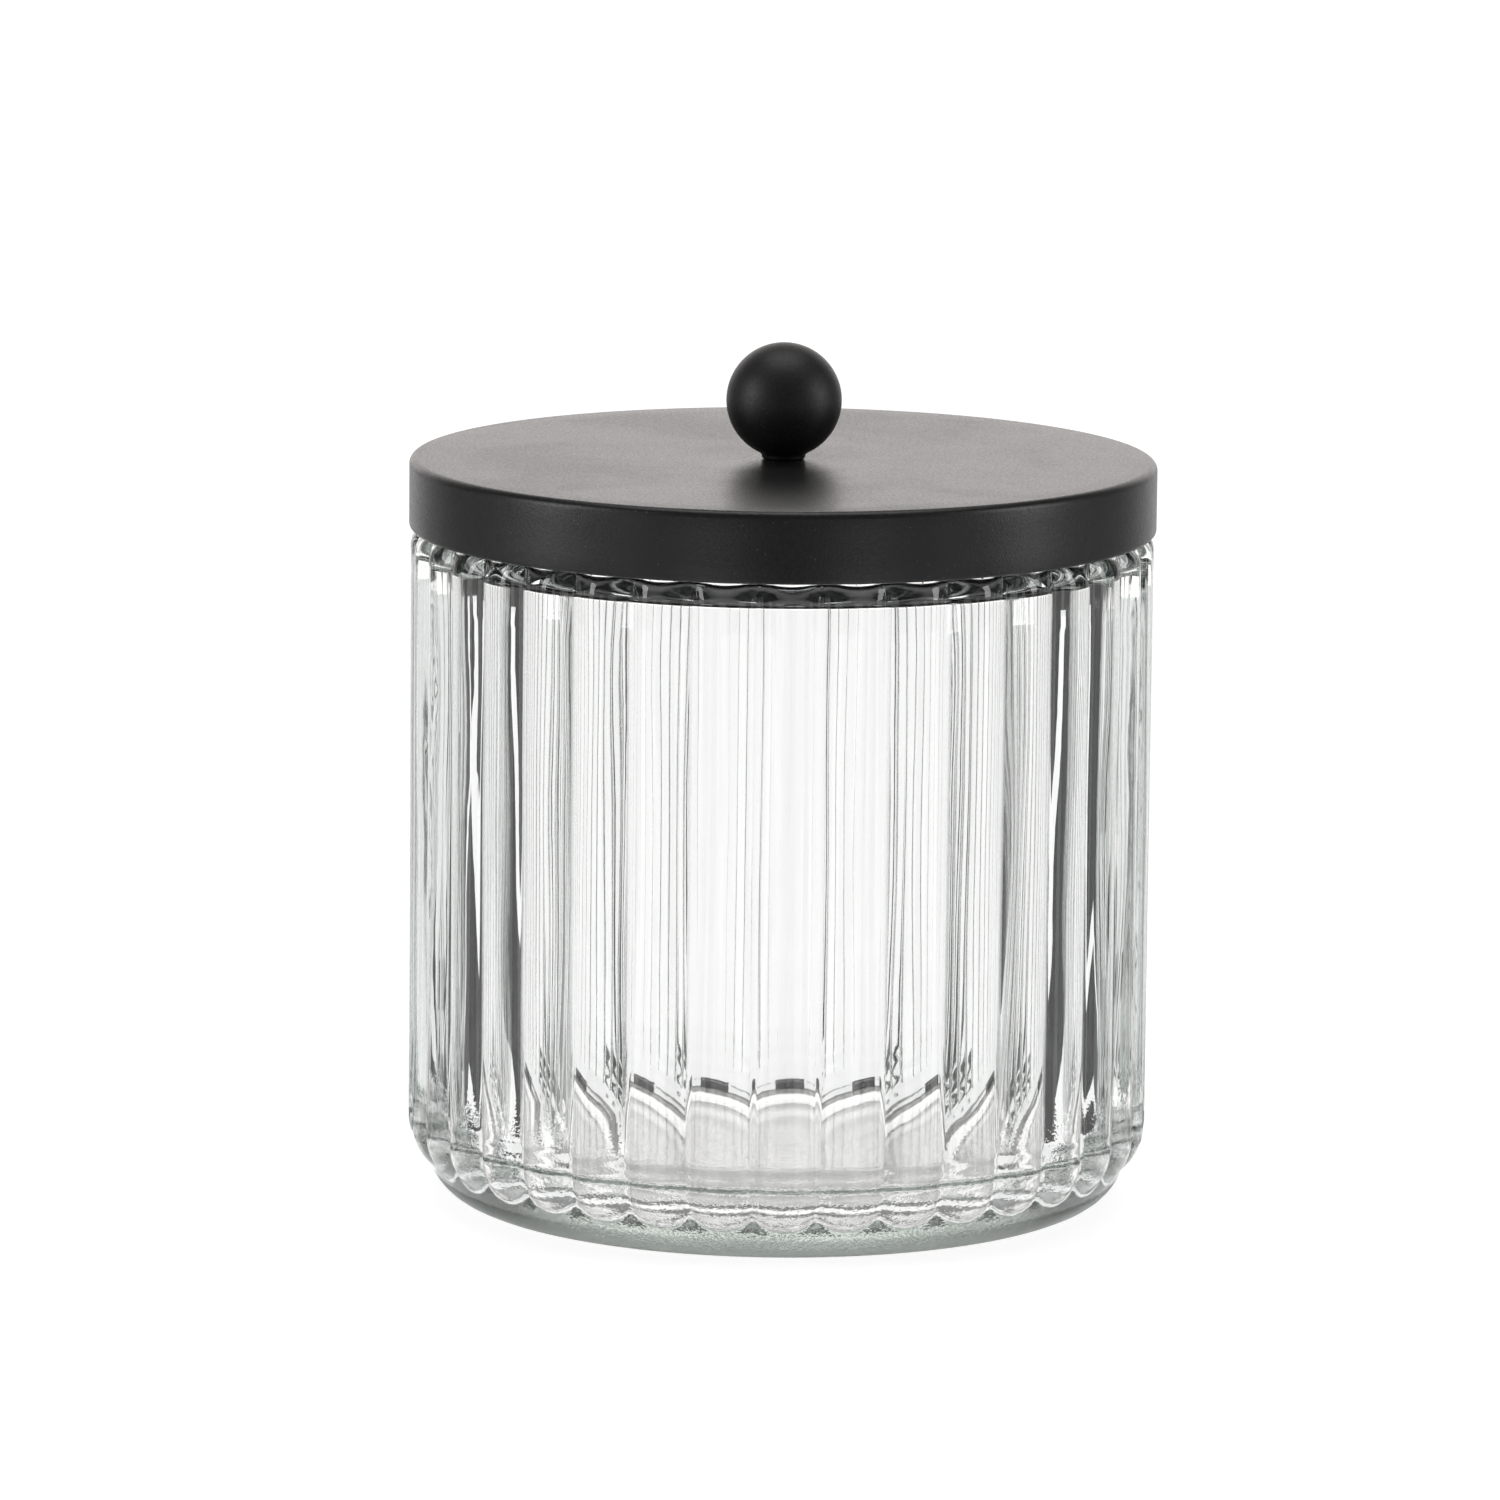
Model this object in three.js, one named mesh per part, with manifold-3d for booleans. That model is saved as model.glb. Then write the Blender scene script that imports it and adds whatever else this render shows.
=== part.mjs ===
// Fluted glass jar with a drop-on metal lid and a ball knob.
// Millimetres, +Z up. The origin is the centre of the jar's foot, on the surface it stands on.
import * as THREE from "three";
import { mergeVertices } from "three/addons/utils/BufferGeometryUtils.js";
import Module from "manifold-3d";

const wasm = await Module();
wasm.setup();

// ---------------------------------------------------------------- driving dimensions
// Glass jar, outside
const jarDiameter = 98.6; // across opposite rib crests
const jarHeight = 94.0; // foot to rim
const ribCount = 36;
const ribDepth = 1.5; // crest to valley
const heelRun = 17.0; // how far the rib crests curve inwards under the jar
const heelHeight = 10.0; // where the rib crests start to curve inwards
const heelStart = 1.5; // the ribbed body's underside, buried in the foot
const footInset = 8.3; // rib crest to the outer edge of the flat foot
const footBulge = 5.8; // how far the plain foot swells outside its flat
const footHeight = 6.6; // where the plain foot is widest
const footWidth = 6.0; // width of the flat ring that the jar stands on
const pushUp = 1.0; // hollow under the floor
const pushUpSlope = 2.5; // width of the slope from the foot ring to the hollow
const shoulderRadius = 3.5; // dome at the top of each rib
const neckHeight = 3.55; // top of the shoulder to the rim
// Glass jar, inside
const ribWall = 2.2; // glass between a rib valley and the cavity
const neckWall = 3.0;
const floorThickness = 4.2; // glass over the hollow
const floorFillet = 8.5;
const rimFillet = 1.3;
const filletLimit = 0.45; // most of a wall that one edge's fillet may take
const mouthDepth = 5.0; // straight part of the mouth, below the rim
const mouthBlend = 3.2; // height of the curve from the mouth to the cavity wall
// Lid shell, pressed from sheet
const sheet = 0.6;
const skirtGap = 3.1; // neck of the jar to the inside of the skirt
const hemHeight = 2.4; // turned-in safety edge
const bendRadius = 0.4; // inside corner between top and skirt
const dishDepth = 0.2; // dish that the screw pulls into the top
const dishRadius = 14.0;
const hemClearance = 0.4; // hem to the rib shoulders
// Seal ring, silicone
const sealFlange = 4.2; // thickness between the rim and the lid
const sealFit = 0.3; // flange to skirt
const plugWall = 1.6;
const plugDepth = 4.4; // how far the plug reaches below the rim
const plugClearance = 0.65; // plug wall to the mouth of the jar
const finReach = 0.35; // how far each fin stands out of the plug
const finHeight = 1.2;
const finPitch = 1.9;
const finCount = 2;
// Knob
const knobDiameter = 15.3;
const collarDiameter = 5.8;
// Screw and washer, M4
const screwDiameter = 4.0;
const screwLength = 10.0; // under the head
const headDiameter = 8.0;
const headHeight = 3.1;
const headCrown = 2.3; // the pan head's rounded edge
const tipChamfer = 1.0;
const recessLength = 4.4;
const recessWidth = 1.0;
const recessDepth = 1.9;
const washerDiameter = 9.0;
const washerThickness = 0.8;
const holeClearance = 0.15; // screw to every hole around it, on the radius
const holeSpare = 0.7; // blind hole beyond the screw's tip
const drillPoint = 1.1; // cone at the end of the blind hole
// Faces that touch are this far apart
const seatGap = 0.1;
// A cutting shape, or one buried in its neighbour, runs this far past the face
const overrun = 1.0;

// Facets
const ribFacets = 4; // per rib
const ringFacets = 72;
const smallFacets = 28;
const arcSteps = 4;
const heelSteps = 6;
const footSteps = 5;
const bendSteps = 2;
const dishSteps = 2;
const knobSteps = 12;

// ---------------------------------------------------------------- derived places
const crestRadius = jarDiameter / 2;
const shoulderStart = jarHeight - neckHeight - shoulderRadius;
const neckRadius = crestRadius - shoulderRadius;
const mouthRadius = neckRadius - neckWall;
const cavityRadius = crestRadius - ribDepth - ribWall;
const floorTop = pushUp + floorThickness;
const rimRound = Math.min(rimFillet, filletLimit * neckWall);
const footRadius = crestRadius - footInset;

const skirtInner = neckRadius + skirtGap;
const lidRadius = skirtInner + sheet;
const lidTop = jarHeight + seatGap + sealFlange + seatGap + sheet;
const lidUnderside = lidTop - sheet;
const hemInner = skirtInner - sheet;
// The hem's round bottom edge stays hemClearance away from the round shoulder of the ribs.
const hemCentreAbove = Math.sqrt(
  (shoulderRadius + sheet + hemClearance) ** 2 - skirtGap ** 2,
);
const lidBottom = shoulderStart + hemCentreAbove - sheet;

const dishTop = lidTop - dishDepth;
const dishUnderside = dishTop - sheet;
const screwHole = screwDiameter / 2 + holeClearance;
const knobRadius = knobDiameter / 2;
const knobCentre = lidTop + knobRadius;
const knobBottom = dishTop + seatGap / 2;
const washerTop = dishUnderside - seatGap / 2;
const washerBottom = washerTop - washerThickness;
const headTop = washerBottom - seatGap / 2;
const screwTip = headTop + screwLength;

// ---------------------------------------------------------------- shapes
const point = (radius, height) => new THREE.Vector2(radius, height);

// Points of an elliptic arc in a profile, both ends included. Angle 0 points outwards, 90 up.
function arc(radius, height, acrossRadius, upRadius, fromDegrees, toDegrees, steps) {
  const points = [];
  for (let i = 0; i <= steps; i++) {
    const angle = THREE.MathUtils.degToRad(
      fromDegrees + ((toDegrees - fromDegrees) * i) / steps,
    );
    points.push(
      point(
        radius + acrossRadius * Math.cos(angle),
        height + upRadius * Math.sin(angle),
      ),
    );
  }
  return points;
}

// A profile turned about Z. A profile that stays off the axis is closed into a ring.
function turned(profile, facets) {
  const onAxis = profile[0].x === 0;
  const points = onAxis ? profile : [...profile, profile[0].clone()];
  return new THREE.LatheGeometry(points, facets).rotateX(Math.PI / 2);
}

function solidOf(geometry) {
  const bare = geometry.clone();
  bare.deleteAttribute("normal");
  bare.deleteAttribute("uv");
  const merged = mergeVertices(bare, 1e-4);
  return new wasm.Manifold(
    new wasm.Mesh({
      numProp: 3,
      vertProperties: merged.attributes.position.array,
      triVerts: new Uint32Array(merged.index.array),
    }),
  );
}

function geometryOf(solid) {
  const mesh = solid.getMesh();
  return new THREE.BufferGeometry()
    .setAttribute(
      "position",
      new THREE.BufferAttribute(new Float32Array(mesh.vertProperties), 3),
    )
    .setIndex(new THREE.BufferAttribute(mesh.triVerts, 1));
}

// ---------------------------------------------------------------- glass jar
// Height of a rib over its valley, 1 on the crest and 0 in the valley: a circle's arc.
function ribProfile(angle) {
  const pitch = (2 * Math.PI) / ribCount;
  const turn = angle / pitch;
  const fromCrest = 2 * (turn - Math.round(turn)); // -1 to 1, valley to valley
  const halfWidth = (crestRadius * pitch) / 2;
  const arcRadius = (halfWidth ** 2 + ribDepth ** 2) / (2 * ribDepth);
  const rise = Math.sqrt(arcRadius ** 2 - (halfWidth * fromCrest) ** 2);
  return (rise - (arcRadius - ribDepth)) / ribDepth;
}

// Share of the full rib depth at a height: the ribs die out over the shoulder.
function ribShare(height) {
  const overShoulder = THREE.MathUtils.clamp(
    (height - shoulderStart) / shoulderRadius,
    0,
    1,
  );
  return 1 - overShoulder ** 2;
}

// The ribbed body without its foot: the crests' outline turned, then its valleys pressed in.
function ribbedBody() {
  const startAngle = THREE.MathUtils.radToDeg(
    Math.asin((heelStart - heelHeight) / heelHeight),
  );
  const heel = arc(
    crestRadius - heelRun,
    heelHeight,
    heelRun,
    heelHeight,
    startAngle,
    0,
    heelSteps,
  );
  const profile = [
    point(0, heelStart),
    ...heel,
    ...arc(neckRadius, shoulderStart, shoulderRadius, shoulderRadius, 0, 90, arcSteps),
    ...arc(neckRadius - rimRound, jarHeight - rimRound, rimRound, rimRound, 0, 90, bendSteps),
    point(0, jarHeight),
  ];
  const body = turned(profile, ribCount * ribFacets);
  const position = body.attributes.position;
  const place = new THREE.Vector3();
  for (let i = 0; i < position.count; i++) {
    place.fromBufferAttribute(position, i);
    const radius = Math.hypot(place.x, place.y);
    if (radius <= mouthRadius / 2) continue; // the two points on the axis
    const angle = Math.atan2(place.y, place.x);
    const pressed = ribDepth * ribShare(place.z) * (1 - ribProfile(angle));
    const scale = (radius - pressed) / radius;
    position.setXY(i, place.x * scale, place.y * scale);
  }
  return body;
}

// The plain foot, which the ribs die into.
function foot() {
  const innerEdge = footRadius - footWidth;
  return turned(
    [
      point(0, pushUp),
      point(innerEdge - pushUpSlope, pushUp),
      point(innerEdge, 0),
      ...arc(footRadius, footHeight, footBulge, footHeight, -90, 0, footSteps),
      point(footRadius, footHeight + overrun),
      point(0, footHeight + overrun),
    ],
    ringFacets,
  );
}

// Everything inside the jar, up past the rim.
function cavity() {
  const blendTop = jarHeight - mouthDepth;
  const blend = [];
  for (let i = 0; i <= arcSteps; i++) {
    const share = (1 - Math.cos((Math.PI * i) / arcSteps)) / 2;
    blend.push(
      point(
        cavityRadius + (mouthRadius - cavityRadius) * share,
        blendTop - mouthBlend + (mouthBlend * i) / arcSteps,
      ),
    );
  }
  return turned(
    [
      point(0, floorTop),
      ...arc(
        cavityRadius - floorFillet,
        floorTop + floorFillet,
        floorFillet,
        floorFillet,
        -90,
        0,
        arcSteps,
      ),
      ...blend,
      ...arc(
        mouthRadius + rimRound,
        jarHeight - rimRound,
        rimRound,
        rimRound,
        180,
        90,
        bendSteps,
      ),
      point(mouthRadius + rimRound, jarHeight + overrun),
      point(0, jarHeight + overrun),
    ],
    ringFacets,
  );
}

function glassJar() {
  const outside = solidOf(ribbedBody()).add(solidOf(foot()));
  return geometryOf(outside.subtract(solidOf(cavity())));
}

// ---------------------------------------------------------------- lid shell
// The dish runs from the screw hole out to the flat top, as a smooth dip.
function dish(flat) {
  const points = [];
  for (let i = 0; i <= dishSteps; i++) {
    const radius = screwHole + ((dishRadius - screwHole) * i) / dishSteps;
    const dip = (dishDepth * (1 + Math.cos((Math.PI * i) / dishSteps))) / 2;
    points.push(point(radius, flat - dip));
  }
  return points;
}

function lidShell() {
  const cornerRadius = bendRadius + sheet;
  return turned(
    [
      ...dish(lidUnderside),
      ...arc(
        skirtInner - bendRadius,
        lidUnderside - bendRadius,
        bendRadius,
        bendRadius,
        90,
        0,
        bendSteps,
      ),
      point(skirtInner, lidBottom + hemHeight),
      point(hemInner, lidBottom + hemHeight),
      ...arc(skirtInner, lidBottom + sheet, sheet, sheet, 180, 360, arcSteps),
      ...arc(
        lidRadius - cornerRadius,
        lidTop - cornerRadius,
        cornerRadius,
        cornerRadius,
        0,
        90,
        bendSteps + 1,
      ),
      ...dish(lidTop).reverse(),
    ],
    ringFacets,
  );
}

// ---------------------------------------------------------------- seal ring
function lidSeal() {
  const flangeTop = lidUnderside - seatGap;
  const flangeBottom = jarHeight + seatGap;
  const flangeOuter = skirtInner - sealFit;
  const plugOuter = mouthRadius - plugClearance;
  const plugInner = plugOuter - plugWall;
  const plugBottom = jarHeight - plugDepth;
  const fins = [];
  for (let i = 0; i < finCount; i++) {
    const middle = plugBottom + finHeight + i * finPitch;
    fins.push(
      point(plugOuter, middle - finHeight / 2),
      point(plugOuter + finReach, middle),
      point(plugOuter, middle + finHeight / 2),
    );
  }
  return turned(
    [
      point(plugInner, plugBottom),
      point(plugOuter, plugBottom),
      ...fins,
      point(plugOuter, flangeBottom),
      point(flangeOuter, flangeBottom),
      point(flangeOuter, flangeTop),
      point(plugInner, flangeTop),
    ],
    ringFacets,
  );
}

// ---------------------------------------------------------------- knob and its screw
function knob() {
  const collarRadius = collarDiameter / 2;
  const lowest = -THREE.MathUtils.radToDeg(Math.acos(collarRadius / knobRadius));
  const holeTop = screwTip + holeSpare;
  return turned(
    [
      point(0, holeTop + drillPoint),
      point(screwHole, holeTop),
      point(screwHole, knobBottom),
      point(collarRadius, knobBottom),
      ...arc(0, knobCentre, knobRadius, knobRadius, lowest, 90, knobSteps).slice(0, -1),
      point(0, knobCentre + knobRadius),
    ],
    smallFacets,
  );
}

function knobScrew() {
  const headRadius = headDiameter / 2;
  const shankRadius = screwDiameter / 2;
  const headBottom = headTop - headHeight;
  const body = turned(
    [
      point(0, headBottom),
      ...arc(headRadius - headCrown, headBottom + headCrown, headCrown, headCrown, -90, 0, arcSteps),
      point(headRadius, headTop),
      point(shankRadius, headTop),
      point(shankRadius, screwTip - tipChamfer),
      point(shankRadius - tipChamfer, screwTip),
      point(0, screwTip),
    ],
    smallFacets,
  );
  const slotDepth = 2 * recessDepth;
  const slotAlong = solidOf(new THREE.BoxGeometry(recessLength, recessWidth, slotDepth));
  const slotAcross = solidOf(new THREE.BoxGeometry(recessWidth, recessLength, slotDepth));
  const cross = slotAlong.add(slotAcross).translate([0, 0, headBottom]);
  return geometryOf(solidOf(body).subtract(cross));
}

function screwWasher() {
  const washerRadius = washerDiameter / 2;
  return turned(
    [
      point(screwHole, washerBottom),
      point(washerRadius, washerBottom),
      point(washerRadius, washerTop),
      point(screwHole, washerTop),
    ],
    smallFacets,
  );
}

// ---------------------------------------------------------------- finishes
const clearGlass = new THREE.MeshStandardMaterial({
  color: 0xf2f6f5,
  roughness: 0.03,
  metalness: 0,
  transparent: true,
  opacity: 0.3,
});
const blackEnamel = new THREE.MeshStandardMaterial({
  color: 0x1c1c1d,
  roughness: 0.45,
  metalness: 0.1,
});
const greySilicone = new THREE.MeshStandardMaterial({
  color: 0x2e2f31,
  roughness: 0.5,
  metalness: 0,
});
const zincSteel = new THREE.MeshStandardMaterial({
  color: 0xb9bbbd,
  roughness: 0.35,
  metalness: 1,
});

// ---------------------------------------------------------------- assembly
function part(name, geometry, material) {
  const mesh = new THREE.Mesh(geometry, material);
  mesh.name = name;
  return mesh;
}

const lid = new THREE.Group();
lid.add(
  part("lid_shell", lidShell(), blackEnamel),
  part("knob", knob(), blackEnamel),
  part("knob_screw", knobScrew(), zincSteel),
  part("screw_washer", screwWasher(), zincSteel),
);

const jar = new THREE.Group();
jar.add(
  part("glass_jar", glassJar(), clearGlass),
  part("lid_seal", lidSeal(), greySilicone),
  lid,
);

export default jar;
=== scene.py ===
"""Looks of a fluted glass jar with a black metal lid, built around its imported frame.

Lengths are in millimetres and become metres where a mesh is made. Heights are above the surface that
the jar stands on, and radii are from the upright axis that the jar, the lid and the knob share.
"""

import logging
import math
from collections import defaultdict
from collections.abc import Callable, Sequence
from dataclasses import dataclass, field
from enum import Enum

import bmesh
import bpy
from mathutils import Matrix, Vector


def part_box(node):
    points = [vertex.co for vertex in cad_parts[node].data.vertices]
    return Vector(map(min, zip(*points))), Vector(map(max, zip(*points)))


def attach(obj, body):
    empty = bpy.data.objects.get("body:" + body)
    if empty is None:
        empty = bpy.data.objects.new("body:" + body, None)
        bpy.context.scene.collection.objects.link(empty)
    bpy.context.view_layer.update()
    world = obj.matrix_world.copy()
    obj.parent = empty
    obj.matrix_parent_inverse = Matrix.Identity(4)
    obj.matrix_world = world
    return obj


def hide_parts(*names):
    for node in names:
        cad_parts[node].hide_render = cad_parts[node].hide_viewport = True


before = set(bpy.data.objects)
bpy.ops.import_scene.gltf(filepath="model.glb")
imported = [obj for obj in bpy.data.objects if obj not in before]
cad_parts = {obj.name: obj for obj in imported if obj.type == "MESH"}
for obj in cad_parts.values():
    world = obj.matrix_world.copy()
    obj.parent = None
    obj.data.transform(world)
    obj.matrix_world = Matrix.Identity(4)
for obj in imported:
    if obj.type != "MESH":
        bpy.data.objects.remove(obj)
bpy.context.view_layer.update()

MM = 0.001
WELD = 0.001  # vertices closer than this are one
NEAR = 0.01  # vertices this close to a level are on it
Outline = list[tuple[float, float]]  # radius and height of each corner of a turned shape
Colour = tuple[float, float, float]

log = logging.getLogger("fluted_jar")


class Body(Enum):
    """The frame's moving bodies that a piece can ride on."""

    JAR = "jar"
    SEAL = "seal"
    LID = "lid"


class Slot(Enum):
    """The record's finishes."""

    GLASS = "glass"
    BLACK_METAL = "black_metal"
    SILICONE = "silicone"
    ZINC_STEEL = "zinc_steel"


# ---------------------------------------------------------------------------------- outlines


def arc(
    radius: float,
    height: float,
    across: float,
    up: float,
    start: float,
    end: float,
    steps: int,
) -> Outline:
    """Gives the points of an elliptic arc, both ends included.

    Args:
        radius: Radius of the arc's centre from the axis.
        height: Height of the arc's centre.
        across: Half width of the ellipse.
        up: Half height of the ellipse.
        start: First angle in degrees, where 0 points outwards and 90 points up.
        end: Last angle in degrees.
        steps: Number of pieces that the arc is cut into.

    Returns:
        The points, as radius and height.
    """
    points = []
    for i in range(steps + 1):
        angle = math.radians(start + (end - start) * i / steps)
        points.append((radius + across * math.cos(angle), height + up * math.sin(angle)))
    return points


def between(start: tuple[float, float], end: tuple[float, float], steps: int) -> Outline:
    """Gives the points that cut a straight stretch into equal steps, without its two ends."""
    across, up = end[0] - start[0], end[1] - start[1]
    return [(start[0] + across * i / steps, start[1] + up * i / steps) for i in range(1, steps)]


def smooth_larger(first: float, second: float, blend: float) -> float:
    """Gives the larger of two lengths, rounded off where they are within the blend of each other."""
    near = max(blend - abs(first - second), 0.0) / blend
    return max(first, second) + near * near * blend / 4


def node_radius(node: str) -> float:
    """Gives the outer radius of a round CAD node in millimetres."""
    low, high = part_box(node)
    return (high.x - low.x) / 2 / MM


def node_heights(node: str) -> tuple[float, float]:
    """Gives the lowest and highest heights of a CAD node in millimetres."""
    low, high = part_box(node)
    return low.z / MM, high.z / MM


# ---------------------------------------------------------------------------------- bench work


class Bench:
    """One piece on the bench, shaped by one operator at a time."""

    def __init__(self, piece: bpy.types.Object) -> None:
        """Takes a piece that is active and selected alone."""
        self.piece = piece

    @staticmethod
    def clear() -> None:
        """Leaves edit mode and lets go of everything, so that an operator acts on nothing old."""
        if bpy.context.object and bpy.context.object.mode != "OBJECT":
            bpy.ops.object.mode_set(mode="OBJECT")
        bpy.ops.object.select_all(action="DESELECT")

    @classmethod
    def named(cls, name: str) -> "Bench":
        """Takes the primitive that was just added and puts its place into its mesh.

        Args:
            name: Name for the piece and its mesh.

        Returns:
            The bench with the piece on it.
        """
        piece = bpy.context.object
        piece.name = name
        piece.data.name = name
        bpy.ops.object.transform_apply(location=True, rotation=True, scale=True)
        return cls(piece)

    @classmethod
    def line(cls, name: str, points: Sequence[Vector]) -> "Bench":
        """Draws a line by extruding one vertex from point to point.

        Args:
            name: Name of the new piece.
            points: The line's points in millimetres.

        Returns:
            The bench with the new line on it, in edit mode.
        """
        cls.clear()
        bpy.ops.mesh.primitive_plane_add(size=MM, location=points[0] * MM)
        bench = cls.named(name)
        bench.edit()
        bpy.ops.mesh.select_all(action="SELECT")
        bpy.ops.mesh.merge(type="CENTER")
        for here, there in zip(points, points[1:]):
            step = (there - here) * MM
            bpy.ops.mesh.extrude_vertices_move(TRANSFORM_OT_translate={"value": step})
        return bench

    @classmethod
    def turned(cls, name: str, outline: Outline, steps: int, closed: bool = False) -> "Bench":
        """Turns an outline once round the axis.

        Args:
            name: Name of the new piece.
            outline: The section's corners.
            steps: Number of facets round the axis.
            closed: True where the outline runs back to its first corner.

        Returns:
            The bench with the turned piece on it, in edit mode.
        """
        corners = [*outline, outline[0]] if closed else outline
        bench = cls.line(name, [Vector((0, -radius, height)) for radius, height in corners])
        bench.spin(steps, 360.0)
        bench.weld()
        return bench

    def edit(self) -> None:
        """Starts edit mode with vertices as what is picked."""
        bpy.ops.object.mode_set(mode="EDIT")
        bpy.ops.mesh.select_mode(type="VERT")

    def leave(self) -> None:
        """Goes back to object mode."""
        bpy.ops.object.mode_set(mode="OBJECT")

    def pick(self, test: Callable[[Vector], bool]) -> None:
        """Selects the vertices whose place passes a test.

        Args:
            test: Takes a place in millimetres and says whether it is wanted.
        """
        bpy.ops.mesh.select_all(action="DESELECT")
        mesh = bmesh.from_edit_mesh(self.piece.data)
        for vertex in mesh.verts:
            if test(vertex.co / MM):
                vertex.select_set(True)
        mesh.select_flush_mode()
        bmesh.update_edit_mesh(self.piece.data, loop_triangles=False, destructive=False)

    def push(self, rule: Callable[[Vector], Vector | None]) -> None:
        """Moves vertices by a rule, those with the same move together.

        Args:
            rule: Takes a place and gives the move there, both in millimetres, or None to stay.
        """
        mesh = bmesh.from_edit_mesh(self.piece.data)
        mesh.verts.ensure_lookup_table()
        groups: dict[tuple[float, ...], list[int]] = defaultdict(list)
        for vertex in mesh.verts:
            move = rule(vertex.co / MM)
            if move is not None and move.length > WELD:
                groups[tuple(round(value, 4) for value in move)].append(vertex.index)
        for move, members in groups.items():
            bpy.ops.mesh.select_all(action="DESELECT")
            mesh = bmesh.from_edit_mesh(self.piece.data)
            mesh.verts.ensure_lookup_table()
            for index in members:
                mesh.verts[index].select_set(True)
            mesh.select_flush_mode()
            bpy.ops.transform.translate(value=Vector(move) * MM)

    def spin(self, steps: int, degrees: float, copies: bool = False) -> None:
        """Spins everything round the axis.

        Args:
            steps: Number of facets or copies.
            degrees: Angle of the whole spin.
            copies: True for separate copies instead of a surface.
        """
        bpy.ops.mesh.select_all(action="SELECT")
        bpy.ops.mesh.spin(
            steps=steps,
            angle=math.radians(degrees),
            dupli=copies,
            center=(0, 0, 0),
            axis=(0, 0, 1),
        )

    def weld(self) -> None:
        """Merges doubled vertices and turns the faces outwards."""
        bpy.ops.mesh.select_all(action="SELECT")
        bpy.ops.mesh.remove_doubles(threshold=WELD * MM)
        bpy.ops.mesh.dissolve_degenerate(threshold=WELD * MM / 10)
        bpy.ops.mesh.select_all(action="SELECT")
        bpy.ops.mesh.normals_make_consistent(inside=False)

    def apply(self, kind: str, **settings: object) -> None:
        """Adds a modifier and applies it, in object mode.

        Args:
            kind: The modifier's type.
            settings: Attributes of the modifier by name.
        """
        modifier = self.piece.modifiers.new(kind.lower(), kind)
        for key, value in settings.items():
            setattr(modifier, key, value)
        bpy.ops.object.modifier_apply(modifier=modifier.name)

    def finish(self, sharp_from: float | None = None) -> bpy.types.Object:
        """Leaves edit mode and shades the piece smooth.

        Args:
            sharp_from: Angle in degrees from which an edge stays sharp, or None for no sharp edges.

        Returns:
            The finished piece, with its object at the origin.
        """
        if self.piece.mode != "OBJECT":
            self.leave()
        bpy.ops.object.transform_apply(location=True, rotation=True, scale=True)
        if sharp_from is None:
            bpy.ops.object.shade_smooth()
        else:
            bpy.ops.object.shade_smooth_by_angle(angle=math.radians(sharp_from))
        return self.piece


def settle(piece: bpy.types.Object, body: Body, node: str) -> None:
    """Puts a finished piece in its CAD node's place and reports it.

    Args:
        piece: The finished piece.
        body: The body that it moves with.
        node: The CAD node that it stands for.
    """
    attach(piece, body.value)
    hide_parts(node)
    log.info("%s: %d faces, on %s", piece.name, len(piece.data.polygons), body.value)


# ---------------------------------------------------------------------------------- finishes


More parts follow.
